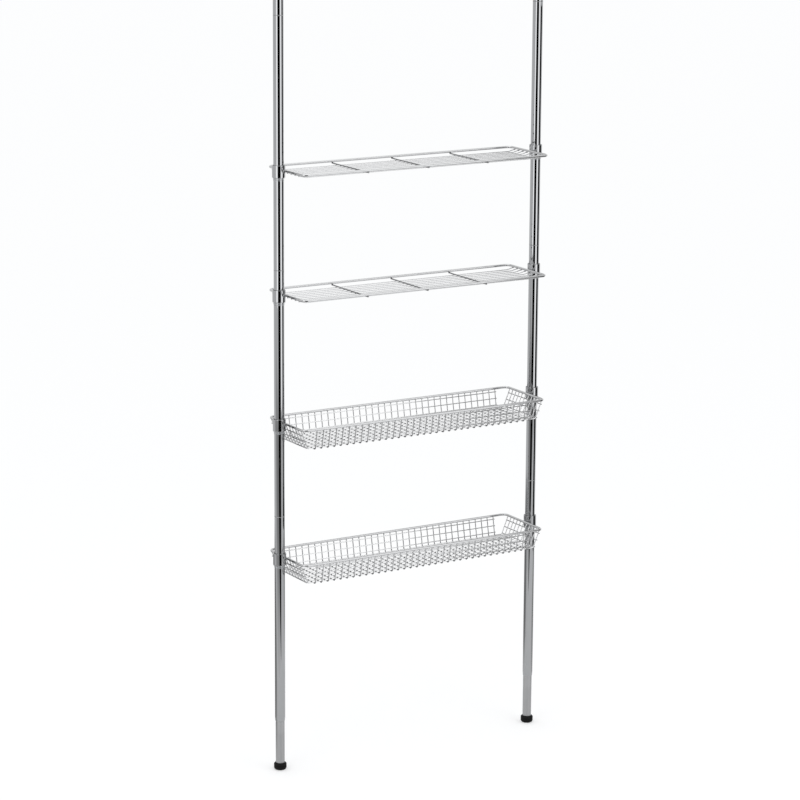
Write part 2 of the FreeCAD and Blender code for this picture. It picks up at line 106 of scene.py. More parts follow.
@dataclass(frozen=True)
class Row:
    """Equal things at equal spacing, centred on the unit."""

    axis: Axis
    pitch: float
    count: int

    @property
    def across(self) -> Axis:
        """The level direction across the row."""
        return Axis.Y if self.axis is Axis.X else Axis.X

    @property
    def reach(self) -> float:
        """From the middle to the last."""
        return self.pitch * (self.count - 1) / 2

    @property
    def first(self) -> Vector:
        """From the middle to the first."""
        return self.axis.vector * -self.reach


@dataclass(frozen=True)
class Round:
    """Place and size of a round upright node."""

    foot: Vector
    top: Vector
    radius: float

    @classmethod
    def of(cls, node: str) -> Self:
        """Measure a node by its box."""
        low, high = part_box(node)
        foot, top = (Vector(((low.x + high.x) / 2, 0.0, end.z)) for end in (low, high))
        return cls(foot, top, (high.x - low.x) / 2)

    @property
    def height(self) -> float:
        """From its foot to its top."""
        return self.top.z - self.foot.z


# ---- shaders


class Signal:
    """A shader socket that can be used in a Python expression."""

    def __init__(self, graph: "Graph", socket: bpy.types.NodeSocket) -> None:
        """Wrap a node's output, with the graph that the node is in."""
        self.graph = graph
        self.socket = socket

    def combine(self, kind: str, first: Operand, second: Operand) -> Self:
        """Add a Math node of one kind of operation on two operands."""
        node = self.graph.add("Math", {"operation": kind}, {0: first, 1: second})
        return Signal(self.graph, node.outputs[0])

    def __add__(self, other: Operand) -> Self:
        """Sum."""
        return self.combine("ADD", self, other)

    def __radd__(self, other: float) -> Self:
        """Sum, with the number first."""
        return self.combine("ADD", other, self)

    def __sub__(self, other: Operand) -> Self:
        """Difference."""
        return self.combine("SUBTRACT", self, other)

    def __mul__(self, other: Operand) -> Self:
        """Product."""
        return self.combine("MULTIPLY", self, other)

    def __pow__(self, other: float) -> Self:
        """Power."""
        return self.combine("POWER", self, other)

    def __or__(self, other: Operand) -> Self:
        """The larger of the two."""
        return self.combine("MAXIMUM", self, other)


class Graph:
    """The node tree of one material or of the world."""

    def __init__(self, tree: bpy.types.NodeTree) -> None:
        """Empty the tree and keep it."""
        self.tree = tree
        tree.nodes.clear()

    def add(
        self, kind: str, settings: dict | None = None, sockets: dict | None = None
    ) -> bpy.types.Node:
        """Add any node.

        Args:
            kind: The node's type, without "ShaderNode".
            settings: Its own settings, set first. "stops" holds a ramp's (place, colour) pairs.
            sockets: By an input's name or number, a value, a Signal, an output, or a node that
                gives its first output.

        Returns:
            The new node.
        """
        node = self.tree.nodes.new(f"ShaderNode{kind}")
        for name, setting in (settings or {}).items():
            if name != "stops":
                setattr(node, name, setting)
                continue
            ramp = node.color_ramp
            ramp.elements.remove(ramp.elements[1])
            ramp.elements[0].position, ramp.elements[0].color = setting[0]
            for place, colour in setting[1:]:
                ramp.elements.new(place).color = colour
        for name, source in (sockets or {}).items():
            if isinstance(source, Signal):
                source = source.socket
            elif isinstance(source, bpy.types.Node):
                source = source.outputs[0]
            if isinstance(source, bpy.types.NodeSocket):
                self.tree.links.new(source, node.inputs[name])
            else:
                node.inputs[name].default_value = source
        return node

    @property
    def place(self) -> bpy.types.NodeSocket:
        """The piece's own coordinates."""
        return self.add("TexCoord").outputs["Object"]

    def noise(self, scale: float, stretch: Sequence[float] = (1, 1, 1), *, detail: int) -> Signal:
        """A cloud pattern on the piece's own coordinates.

        Args:
            scale: Clouds per metre.
            stretch: Share of that scale along X, Y and Z.
            detail: Levels of finer clouds.

        Returns:
            The pattern, from 0 to 1.
        """
        mapped = self.add("Mapping", sockets={"Vector": self.place, "Scale": tuple(stretch)})
        sockets = {"Vector": mapped, "Scale": scale, "Detail": detail}
        return Signal(self, self.add("TexNoise", sockets=sockets).outputs["Fac"])

    def rise(self, start: float, reach: float) -> Signal:
        """A share that is 0 up to a height above the floor, and then rises.

        Args:
            start: The height where it begins to rise, at rest.
            reach: How far above that it comes to 1.

        Returns:
            The share.
        """
        parts = self.add("SeparateXYZ", sockets={"Vector": self.place})
        share = self.add("MapRange", sockets={
            "Value": parts.outputs["Z"], "From Min": start, "From Max": start + reach,
        })
        return Signal(self, share.outputs["Result"])

    def blend(self, amount: Signal, low: Colour, high: Colour) -> bpy.types.NodeSocket:
        """Mix two colours, low at an amount of 0 and high at 1."""
        sockets = {"Factor": amount, 6: (*low, 1.0), 7: (*high, 1.0)}
        return self.add("Mix", {"data_type": "RGBA"}, sockets).outputs[2]

    def bump(self, relief: Signal, depth: float) -> bpy.types.Node:
        """Turn a relief of 0 to 1, with its depth in metres, into a normal."""
        return self.add("Bump", sockets={"Distance": depth, "Height": relief})

    def surface(self, sockets: dict) -> None:
        """Finish a material with a Principled BSDF that has these inputs."""
        shader = self.add("BsdfPrincipled", sockets=sockets)
        self.add("OutputMaterial", sockets={"Surface": shader})


def new_material(name: str) -> tuple[bpy.types.Material, Graph]:
    """Start a material.

    Args:
        name: The material's name.

    Returns:
        The material and its empty graph.
    """
    material = bpy.data.materials.new(name)
    material.use_nodes = True
    return material, Graph(material.node_tree)


# ---- finishes


@dataclass(frozen=True)
class Finish:
    """What every finish has: its name, its darkest and lightest tone and its slot."""

    name: str
    low: Colour
    high: Colour
    slot: str

    @cache
    def material(self) -> bpy.types.Material:
        """Build the material, once."""
        material, graph = new_material(self.name)
        graph.surface(self.inputs(graph))
        return material

    def inputs(self, graph: Graph) -> dict:
        """What feeds the surface; each kind of finish gives its own."""
        raise NotImplementedError


@dataclass(frozen=True)
class PlatedSteel(Finish):
    """Chrome plate: clouds of polish, faint marks of drawing or handling along the grain.

    Below a given height its tone can be darkened as painted shade, as on the floor wires of a
    basket.
    """

    slot: str = "wire_chrome"
    roughness: tuple[float, float] = (0.08, 0.16)
    grain: Axis = Axis.Y
    grain_scale: float = 1200.0
    grain_depth: float = 0.000002
    speck: float = 0.02
    dulled_below: float | None = None
    fade: float = 0.006

    def inputs(self, graph: Graph) -> dict:
        """What feeds the surface."""
        clouds = graph.noise(14.0, detail=4)
        specks = graph.noise(900.0, detail=2)
        stretch = [0.02 if along else 1.0 for along in self.grain.value]
        lines = graph.noise(self.grain_scale, stretch, detail=2)
        smooth, rough = self.roughness
        tone = clouds * 0.6 + lines * 0.4
        # Painted shade: below the given height the tone is darkened.
        if self.dulled_below is not None:
            tone = tone * 0.3 + graph.rise(self.dulled_below, self.fade) * 0.7
        return {
            "Metallic": 1.0,
            "Base Color": graph.blend(tone, self.low, self.high),
            "Roughness": clouds ** 2 * (rough - smooth) * 2 + specks * self.speck + smooth,
            "Normal": graph.bump(lines + clouds * 0.5, self.grain_depth),
        }


@dataclass(frozen=True)
class SatinSteel(Finish):
    """Satin plated steel, brushed round its axis and rubbed along it where it slides."""

    roughness: float
    rubbed_above: float = ABOVE_ALL
    fade: float = 0.01
    relief: float = 0.00002

    def inputs(self, graph: Graph) -> dict:
        """What feeds the surface."""
        rings = graph.noise(2200.0, (0.05, 0.05, 1.0), detail=2)
        scratches = graph.noise(1500.0, (1.0, 1.0, 0.01), detail=1)
        clouds = graph.noise(40.0, detail=4)
        wear = graph.rise(self.rubbed_above - self.fade, self.fade) * scratches
        tone = clouds * 0.5 + rings * 0.3 + wear * 0.4
        return {
            "Metallic": 1.0,
            "Base Color": graph.blend(tone, self.low, self.high),
            "Roughness": self.roughness + rings * 0.08 - wear * 0.1 + clouds * 0.06,
            "Normal": graph.bump(rings * 0.6 + wear, self.relief),
        }


@dataclass(frozen=True)
class Moulded(Finish):
    """Moulded rubber or plastic with a fine spark-eroded grain and scuffed high spots."""

    roughness: float
    grain_depth: float
    opacity: float = 1.0
    shine: float = 0.5
    ior: float = 1.49

    def inputs(self, graph: Graph) -> dict:
        """What feeds the surface."""
        grain = graph.noise(2600.0, detail=3)
        clouds = graph.noise(60.0, detail=5)
        scuffs = graph.noise(240.0, (1.0, 1.0, 3.0), detail=4) ** 3
        return {
            "Base Color": graph.blend(clouds * 0.5 + scuffs * 1.6, self.low, self.high),
            "Roughness": self.roughness + grain * 0.1 - scuffs * 0.3,
            "Normal": graph.bump(grain + scuffs, self.grain_depth),
            "IOR": self.ior,
            "Specular IOR Level": self.shine,
            "Alpha": self.opacity,
        }


POLE_CHROME = PlatedSteel(
    "drawn_chrome_tube", (0.34, 0.345, 0.355), (0.38, 0.385, 0.39), "pole_chrome",
    roughness=(0.015, 0.035), grain=Axis.Z, grain_scale=900.0, grain_depth=0.0000001, speck=0.005,
)
COLLAR_CHROME = PlatedSteel(
    "turned_chrome_collar", (0.34, 0.345, 0.355), (0.38, 0.385, 0.39), "collar_chrome",
    roughness=(0.03, 0.06), grain=Axis.X, grain_scale=1400.0, grain_depth=0.0000002, speck=0.01,
)
# These wire finishes are one chrome in lit and shaded copies: the tones differ only as painted
# light, lighter for wires that run end to end (painted reflection) and darker for the braces, the
# end rails and the cross net (painted shade).
RIM_CHROME = PlatedSteel(
    "chromed_rim", (0.44, 0.444, 0.45), (0.52, 0.524, 0.53),
    roughness=(0.04, 0.08), grain=Axis.X, grain_depth=0.000001, speck=0.01,
)
BRACE_CHROME = PlatedSteel("chromed_brace", (0.18, 0.183, 0.188), (0.25, 0.253, 0.258))
DECK_CHROME = PlatedSteel(
    "chromed_wire_end_to_end", (0.48, 0.484, 0.49), (0.56, 0.564, 0.57), grain=Axis.X
)
CROSS_CHROME = PlatedSteel("chromed_net", (0.14, 0.142, 0.145), (0.5, 0.504, 0.51))
LONG_CHROME = PlatedSteel(
    "chromed_net_end_to_end", (0.64, 0.644, 0.65), (0.72, 0.724, 0.73), grain=Axis.X
)
END_CHROME = PlatedSteel(
    "chromed_wire_front_to_back", (0.3, 0.303, 0.308), (0.38, 0.383, 0.388)
)
LEG_SATIN = SatinSteel(
    "satin_leg_tube", (0.32, 0.323, 0.328), (0.4, 0.403, 0.408), "leg_steel", 0.28, 0.1
)
SPRING_STEEL = SatinSteel(
    "oiled_spring_wire", (0.2, 0.2, 0.21), (0.34, 0.34, 0.35), "spring_steel", 0.3
)
RUBBER = Moulded(
    "black_rubber", (0.004, 0.004, 0.004), (0.014, 0.014, 0.014), "rubber", 0.6, 0.00003, shine=0.1
)
CLEAR_PLASTIC = Moulded(
    "clear_plastic", (0.66, 0.68, 0.7), (0.8, 0.82, 0.84), "clear_plastic", 0.14, 0.000004, 0.16
)
NYLON = Moulded(
    "grey_nylon", (0.2, 0.205, 0.21), (0.28, 0.285, 0.29), "grey_plastic", 0.42, 0.00002
)


# ---- modelling


def add_alone(primitive: Callable, **settings: object) -> bpy.types.Object:
    """Add a primitive with nothing else selected.

    Args:
        primitive: The operator that adds it.
        **settings: Its size and place.

    Returns:
        The new object.
    """
    bpy.ops.object.select_all(action="DESELECT")
    primitive(**settings)
    return bpy.context.active_object


class Workpiece:
    """One mesh on the bench, shaped with the modelling operators and then fitted."""

    def __init__(self, primitive: Callable, **settings: object) -> None:
        """Add a primitive of a given size and place, and put the place into its mesh."""
        self.object = add_alone(primitive, **settings)
        bpy.ops.object.transform_apply(location=True, rotation=True, scale=True)

    @classmethod
    def revolved(
        cls, profile: Sequence[Point], centre: Vector,
        sides: int = 72, sweep: float = FULL_TURN, start: float = 0.0,
    ) -> Self:
        """Turn a profile about an upright axis.

        Args:
            profile: Radius and height of each point, in order round the section.
            centre: A point on the axis, from which the heights are counted.
            sides: Steps round the axis.
            sweep: How far the profile is turned.
            start: The angle that it starts at.

        Returns:
            The closed piece, out of edit mode.
        """
        heading = Vector((math.cos(start), math.sin(start), 0.0))
        points = [centre + heading * radius + up(height) for radius, height in profile]
        whole = sweep >= FULL_TURN
        if whole and profile[0][0] > 0:
            points.append(points[0])
        piece = cls(bpy.ops.mesh.primitive_plane_add, size=0.001, location=points[0])
        piece.edit()
        bpy.ops.mesh.merge(type="CENTER")
        for before, after in zip(points, points[1:]):
            bpy.ops.mesh.extrude_region_move(TRANSFORM_OT_translate={"value": after - before})
        bpy.ops.mesh.select_all(action="SELECT")
        bpy.ops.mesh.remove_doubles(threshold=MERGE_DISTANCE)
        if not whole:
            bpy.ops.mesh.edge_face_add()
        # The spin operator turns clockwise about its axis.
        bpy.ops.mesh.spin(steps=sides, angle=-sweep, center=centre, axis=Axis.Z.vector)
        return piece.close_shell()

    @classmethod
    def bent(
        cls, corners: Sequence[Vector], bend: float, wire: float,
        sides: int = 12, steps: int = 6, closed: bool = False,
    ) -> Self:
        """Bend a round wire: it is fed straight and spun round a former at each corner.

        Args:
            corners: Where the straight runs would meet, from end to end.
            bend: Radius of each bend, to the centre of the wire.
            wire: Diameter of the wire.
            sides: Faces round the wire.
            steps: Faces along each bend.
            closed: Whether the last run ends where the first begins.

        Returns:
            The closed piece, out of edit mode.
        """
        path = list(corners)
        if closed:
            middle = (path[0] + path[1]) / 2
            path = [middle, *path[1:], path[0], middle]
        place, heading = path[0], (path[1] - path[0]).normalized()
        piece = cls(
            bpy.ops.mesh.primitive_circle_add, vertices=sides, radius=wire / 2,
            fill_type="NOTHING" if closed else "NGON", location=place,
            rotation=heading.to_track_quat("Z", "Y").to_euler(),
        )
        piece.edit()
        for corner, following in zip(path[1:], path[2:]):
            ahead = (following - corner).normalized()
            turn = heading.angle(ahead)
            reach = bend * math.tan(turn / 2)
            start = corner - heading * reach
            bpy.ops.mesh.extrude_region_move(TRANSFORM_OT_translate={"value": start - place})
            axis = heading.cross(ahead).normalized()
            centre = start + axis.cross(heading) * bend
            bpy.ops.mesh.spin(steps=steps, angle=-turn, center=centre, axis=axis)
            place, heading = corner + ahead * reach, ahead
        bpy.ops.mesh.extrude_region_move(TRANSFORM_OT_translate={"value": path[-1] - place})
        return piece.close_shell()

    @classmethod
    def coiled(
        cls, foot: Vector, radius: float, wire: float, height: float, turns: int,
        sides: int = 12, steps: int = 32,
    ) -> Self:
        """Wind a round wire into a coil about an upright axis.

        Args:
            foot: Where the axis meets the coil's lower end.
            radius: From the axis to the centre of the wire.
            wire: Diameter of the wire.
            height: Height of the coil, over the wire.
            turns: Whole turns.
            sides: Faces round the wire.
            steps: Faces along each turn.

        Returns:
            The closed piece, out of edit mode.
        """
        piece = cls(
            bpy.ops.mesh.primitive_circle_add, vertices=sides, radius=wire / 2,
            location=(radius, 0.0, wire / 2), rotation=(math.pi / 2, 0.0, 0.0),
        )
        piece.apply(
            "SCREW", axis="Z", angle=FULL_TURN, screw_offset=(height - wire) / turns,
            iterations=turns, steps=steps, render_steps=steps,
        )
        piece.edit()
        bpy.ops.mesh.fill_holes(sides=0)
        bpy.ops.transform.translate(value=foot)
        return piece.close_shell()

    @classmethod
    def welds(cls, size: Size, middle: Vector, *rows: Row) -> Self:
        """Nuggets of fused metal where wires cross: one, a row or a grid.

        Args:
            size: Each one's width along X, Y and Z.
            middle: The middle of them all.
            *rows: How they repeat.

        Returns:
            All the nuggets as one piece, out of edit mode.
        """
        first = sum((row.first for row in rows), middle)
        spot = cls(
            bpy.ops.mesh.primitive_uv_sphere_add, segments=8, ring_count=5, radius=0.5,
            location=first, scale=size,
        )
        return spot.repeat(*rows)

    def pick(self, *others: Self) -> None:
        """Make this the active piece, and select it with any others."""
        bpy.ops.object.select_all(action="DESELECT")
        for piece in (*others, self):
            piece.object.select_set(True)
        bpy.context.view_layer.objects.active = self.object

    def edit(self) -> None:
        """Enter edit mode with the whole mesh selected."""
        bpy.ops.object.mode_set(mode="EDIT")
        bpy.ops.mesh.select_all(action="SELECT")

    def close_shell(self) -> Self:
        """Merge doubled points, turn every face outwards and leave edit mode.

        Returns:
            The piece itself.
        """
        bpy.ops.mesh.select_all(action="SELECT")
        bpy.ops.mesh.remove_doubles(threshold=MERGE_DISTANCE)
        bpy.ops.mesh.normals_make_consistent()
        bpy.ops.object.mode_set(mode="OBJECT")
        return self

    def apply(self, kind: str, **settings: object) -> Self:
        """Add a modifier and apply it.

        Args:
            kind: The modifier's type.
            **settings: Its settings.

        Returns:
            The piece itself.
        """
        modifier = self.object.modifiers.new(kind.lower(), kind)
        for name, setting in settings.items():
            setattr(modifier, name, setting)
        bpy.ops.object.modifier_apply(modifier=modifier.name)
        return self

    def soften(self, width: float, segments: int = 3, angle: float = 50.0) -> Self:
        """Round the edges that are sharper than an angle in degrees, over a width."""
        return self.apply(
            "BEVEL", width=width, segments=segments, limit_method="ANGLE",
            angle_limit=math.radians(angle),
        )

    def repeat(self, *rows: Row) -> Self:
        """Copy the piece, which stands first, in a row or a grid.

        Args:
            *rows: Direction, spacing and number of the copies.

        Returns:
            The piece itself.
        """
        for row in rows:
            self.apply(
                "ARRAY", count=row.count, use_relative_offset=False, use_constant_offset=True,
                constant_offset_displace=row.axis.vector * row.pitch,
            )
        return self

    def twin(self, centre: Vector) -> Self:
        """Add a copy that is turned half way round an upright axis.

        Args:
            centre: A point on the axis.

        Returns:
            The piece itself.
        """
        self.edit()
        bpy.ops.mesh.duplicate()
        bpy.ops.transform.rotate(value=math.pi, orient_axis="Z", center_override=centre)
        bpy.ops.object.mode_set(mode="OBJECT")
        return self

    def join(self, *others: Self) -> Self:
        """Weld other pieces on to this one.

        Args:
            *others: The pieces that become part of it.

        Returns:
            The piece itself.
        """
        self.pick(*others)
        bpy.ops.object.join()
        return self

    def fit(self, body: str, node: str, kind: str, finish: Finish) -> bpy.types.Object:
        """Name, smooth and dress the piece, and set it on its body in place of its node.

        Args:
            body: The body that it rides on.
            node: The node that it stands for.
            kind: What its own name adds to the node's.
            finish: Its finish.

        Returns:
            The piece's object.
        """
        piece = self.object
        piece.name = piece.data.name = f"{node}_{kind}"
        self.pick()
        bpy.ops.object.shade_smooth_by_angle(angle=SMOOTH_ANGLE)
        piece.data.materials.clear()
        piece.data.materials.append(finish.material())
        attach(piece, body)
        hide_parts(node)
        log.info("%s: %d faces", piece.name, len(piece.data.polygons))
        return piece


def dress(node: str, finish: Finish) -> None:
    """Give a node that keeps its own shape its finish.

    Args:
        node: The node's name.
        finish: Its finish.
    """
    part = frame["nodes"][node]
    if not part.material_slots:
        part.data.materials.append(finish.material())
    for held in part.material_slots:
        held.material = finish.material()
    log.info("%s: finish %s", node, finish.name)


def arc(centre: Point, radius: float, first: float, last: float, steps: int) -> Iterator[Point]:
    """Points of a rounded corner in a profile.

    Args:
        centre: Radius and height of the arc's centre.
        radius: The arc's radius.
        first: Angle of the first point, in degrees from outwards.
        last: Angle of the last point.
        steps: Runs between them.

    Yields:
        Radius and height of each point.
    """
    for step in range(steps + 1):
        angle = math.radians(first + (last - first) * step / steps)
        yield centre[0] + radius * math.cos(angle), centre[1] + radius * math.sin(angle)


def straight(radius: float, length: float, hold: float = 0.001) -> list[Point]:
    """A straight side of a section, with a point near each end that keeps its shading flat."""
    return [(radius, rise) for rise in (0.0, hold, length - hold, length)]


# ---- the poles


@dataclass(frozen=True)
class RubberCup:
    """The section of a moulded rubber cup: rounded floor, a grip groove and a bevelled lip."""

    outer: float
    height: float
    floor: float
    bore: float
    rounding: float = 0.006
    bevel: float = 0.003
    groove_width: float = 0.0012
    lip: float = 0.0005

    def profile(self) -> list[Point]:
        """Radius and height of each point, from the middle of the floor round to its inside."""
        shoulder = self.height - self.bevel
        middle = (self.rounding + shoulder) / 2
        return [
            (0.0, 0.0),
            *arc((self.outer - self.rounding, self.rounding), self.rounding, -90, 0, 8),
            *arc((self.outer, middle), self.groove_width / 2, -90, -270, 6),
            *arc((self.outer - self.lip, shoulder - self.lip), self.lip, 0, 45, 3),
            *arc((self.outer - self.bevel, self.height - self.lip), self.lip, 45, 90, 3),
            (self.bore + self.lip, self.height),
            (self.bore, self.height - self.lip),
            (self.bore, self.floor),
            (0.0, self.floor),
        ]


@dataclass
class Upright:
    """What a pole and its leg have in common: tubes, a rubber cup, and a body to ride on."""

    side: Side
    wall: float
    edge: float = 0.00025
    cup_gap: float = 0.00005

    @property
    def body(self) -> str:
        """The body that its pieces ride on."""
        return "poles"

    def node(self, piece: str) -> str:
        """A node's name on this side."""
        return f"{self.side}_{piece}"

    def tube(self, piece: str, kind: str, finish: Finish, mouth: Sequence[Point] = ()) -> None:
        """A tube with slightly rounded ends.

        Args:
            piece: Its node, without the side.
            kind: What its own name adds to the node's.
            finish: Its finish.
            mouth: The inside of its foot, where that is drawn in, from the lip upwards.
        """
        shape = Round.of(self.node(piece))
        outside = straight(shape.radius, shape.height)
        inside = straight(shape.radius - self.wall, shape.height)
        if mouth:
            outside[:2] = [(radius + self.wall, height) for radius, height in mouth]
            inside[:2] = mouth
        tube = Workpiece.revolved([*outside, *reversed(inside)], shape.foot)
        tube.soften(self.edge).fit(self.body, self.node(piece), kind, finish)

    def rubber_cup(self, piece: str, tube: str, sign: int) -> None:
        """A rubber cup on the end of a tube.

        Args:
            piece: The cup's node, without the side.
            tube: The tube's node, without the side.
            sign: 1 where the cup opens upwards, -1 where it opens downwards.
        """
        cup, held = Round.of(self.node(piece)), Round.of(self.node(tube))
        start, seat = (cup.foot, held.foot) if sign > 0 else (cup.top, held.top)
        section = RubberCup(
            cup.radius, cup.height, floor=abs(seat.z - start.z), bore=held.radius + self.cup_gap
        )
        profile = [(radius, sign * height) for radius, height in section.profile()]
        Workpiece.revolved(profile, start).fit(self.body, self.node(piece), "rubber", RUBBER)


@dataclass
class Pole(Upright):
    """One fixed pole: four chromed tubes on inserts, and the rubber cap at the ceiling."""

    wall: float = 0.0007
    mouth_length: float = 0.011
    mouth_steps: int = 8
    mouth_gap: float = 0.00015

    def build(self) -> None:
        """Build every piece of the pole."""
        for piece in ("middle_tube", "upper_tube", "head_tube"):
            self.tube(piece, "chromed", POLE_CHROME)
        self.tube("lower_tube", "chromed", POLE_CHROME, self.mouth())
        self.rubber_cup("ceiling_cap", "head_tube", sign=-1)
        for piece in ("joint_inserts", "spring_stop"):
            dress(self.node(piece), NYLON)

    def mouth(self) -> list[Point]:
        """The inside of the lowest tube's foot, drawn in smoothly to guide the leg.

        Returns:
            Radius and height of each point, from the lip upwards.
        """
        throat = Round.of(self.node("leg_tube")).radius + self.mouth_gap
        swell = Round.of(self.node("lower_tube")).radius - self.wall - throat
        shares = [step / self.mouth_steps for step in range(self.mouth_steps + 1)]
        return [
            (throat + swell * (3 * share ** 2 - 2 * share ** 3), self.mouth_length * share)
            for share in shares
        ]


@dataclass
class Leg(Upright):
    """One sprung leg: a satin tube on a rubber foot, with its guide and spring in the pole."""

    wall: float = 0.0008
    spring_wire: float = 0.0022
    spring_turns: int = 12

    @property
    def body(self) -> str:
        """The body that its pieces ride on."""
        return self.node("leg")

    def build(self) -> None:
        """Build every piece of the leg."""
        self.tube("leg_tube", "satin", LEG_SATIN)
        self.rubber_cup("foot", "leg_tube", sign=1)
        dress(self.node("leg_guide"), NYLON)
        self.spring()

    def spring(self) -> None:
        """Wind the spring, and work out the share of its height that it keeps when the leg slides
        up.
        """
        node, slide = self.node("leg_spring"), self.node("leg_slide")
        shape = Round.of(node)
        coil = Workpiece.coiled(
            shape.foot, shape.radius - self.spring_wire / 2, self.spring_wire, shape.height,
            self.spring_turns,
        ).fit(self.body, node, "coil", SPRING_STEEL)
        travel = next(joint for joint in frame["joints"] if joint["name"] == slide)["range_m"][1]
        keep = 1 - travel / shape.height
        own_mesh(coil)


# ---- shelves and baskets


@dataclass
class Clamp:
    """A chromed collar and the split plastic sleeve that wedges it on the pole."""

    tier: str
    side: Side
    collar_wall: float = 0.0014
    collar_edge: float = 0.0005
    collar_hold: float = 0.0012
    wedge_taper: float = 0.0005
    wedge_gap: float = 0.00005
    sleeve_gap: float = 0.00015
    sleeve_recess: float = 0.0025
    sleeve_lip: float = 0.0008
    sleeve_edge: float = 0.0003
    slit: float = math.radians(5)
    shape: Round = field(init=False)
    bore: float = field(init=False)

    def __post_init__(self) -> None:
        """Measure the collar and the bore at its foot."""
        self.shape = Round.of(self.node("collar"))
        self.bore = self.shape.radius - self.collar_wall

    def node(self, piece: str) -> str:
        """A node's name on this clamp."""
        return f"{self.tier}_{self.side}_{piece}"

    def build(self) -> None:
        """Build the collar and the sleeve."""
        self.collar()
        self.sleeve()

    def collar(self) -> None:
        """The collar, whose bore narrows towards its top."""
        outside = straight(self.shape.radius, self.shape.height, self.collar_hold)
        profile = [(self.bore, 0.0), *outside, (self.bore - self.wedge_taper, self.shape.height)]
        collar = Workpiece.revolved(profile, self.shape.foot, sides=96)
        collar.soften(self.collar_edge, segments=4)
        collar.fit(self.tier, self.node("collar"), "chromed", COLLAR_CHROME)

    def sleeve(self) -> None:
        """The sleeve: two halves that fill the collar, on a flared skirt below it."""
        foot = Round.of(self.node("sleeve")).foot
        skirt = self.shape.foot.z - foot.z
        length = self.shape.height - self.sleeve_recess
        inner = Round.of(f"{self.side}_lower_tube").radius + self.sleeve_gap
        fitted = self.bore - self.wedge_gap
        shoulder = skirt - self.wedge_gap
        section = (
            (inner, 0.0),
            (inner + self.sleeve_lip, 0.0),
            (self.shape.radius, shoulder),
            (fitted, shoulder),
            (fitted - self.wedge_taper * length / self.shape.height, skirt + length),
            (inner, skirt + length),
        )
        sleeve = Workpiece.revolved(
            section, foot, sides=36, sweep=math.pi - self.slit, start=self.slit / 2
        )
        sleeve.soften(self.sleeve_edge, segments=2, angle=35).twin(foot)
        sleeve.fit(self.tier, self.node("sleeve"), "halves", CLEAR_PLASTIC)


@dataclass
class Tier:
    """What every shelf and basket has: the rim and its clamps."""

    name: str
    rim_corner: float = 0.014
    rim_sides: int = 24
    corner_steps: int = 12
    bead_size: Size = (0.0022, 0.0055, 0.0036)
    bead_sine: float = 0.24
    bead_depth: float = 0.0006
    rim_wire: float = field(init=False)
    half_length: float = field(init=False)
    half_depth: float = field(init=False)
    level: float = field(init=False)

    def __post_init__(self) -> None:
        """Read the rim's wire, its half length and depth between wire centres, and its height."""
        low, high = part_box(self.node("rim"))
        self.rim_wire = high.z - low.z
        self.half_length = (high.x - low.x - self.rim_wire) / 2
        self.half_depth = (high.y - low.y - self.rim_wire) / 2
        self.level = (high.z + low.z) / 2

    def node(self, piece: str) -> str:
        """A node's name on this tier."""
        return f"{self.name}_{piece}"

    def fit(self, work: Workpiece, piece: str, kind: str, finish: Finish) -> None:
        """Fit a workpiece on this tier's body in place of one of its nodes."""
        work.fit(self.name, self.node(piece), kind, finish)

    def build(self) -> None:
        """Build the rim and both clamps."""
        corners = [
            Vector((x * self.half_length, y * self.half_depth, self.level))
            for x, y in ((-1, -1), (1, -1), (1, 1), (-1, 1))
        ]
        rim = Workpiece.bent(
            corners, self.rim_corner, self.rim_wire,
            sides=self.rim_sides, steps=self.corner_steps, closed=True,
        )
        rim.join(*(self.bead(side, end) for side in Side for end in (-1, 1)))
        self.fit(rim, "rim", "wire", RIM_CHROME)
        for side in Side:
            Clamp(self.name, side).build()

    def bead(self, side: Side, end: int) -> Workpiece:
        """A bead of weld between the rim and a collar.

        Args:
            side: The collar's side.
            end: -1 for the bead in front of the touching point, 1 for the one behind it.

        Returns:
            The bead.
        """
        collar = Round.of(self.node(f"{side}_collar"))
        reach = collar.radius * math.sqrt(1 - self.bead_sine ** 2) + self.bead_depth
        place = Vector((
            collar.foot.x - side.value * reach, collar.radius * self.bead_sine * end, self.level
        ))
        return Workpiece.welds(self.bead_size, place)

    def under_rim(self, size: Size, wires: Row) -> Workpiece:
        """The weld spots under the rim, at both ends of a row of wires."""
        half = self.half_depth if wires.across is Axis.Y else self.half_length
        ends = Row(wires.across, 2 * half, 2)
        return Workpiece.welds(size, up(self.level - self.rim_wire / 2), wires, ends)


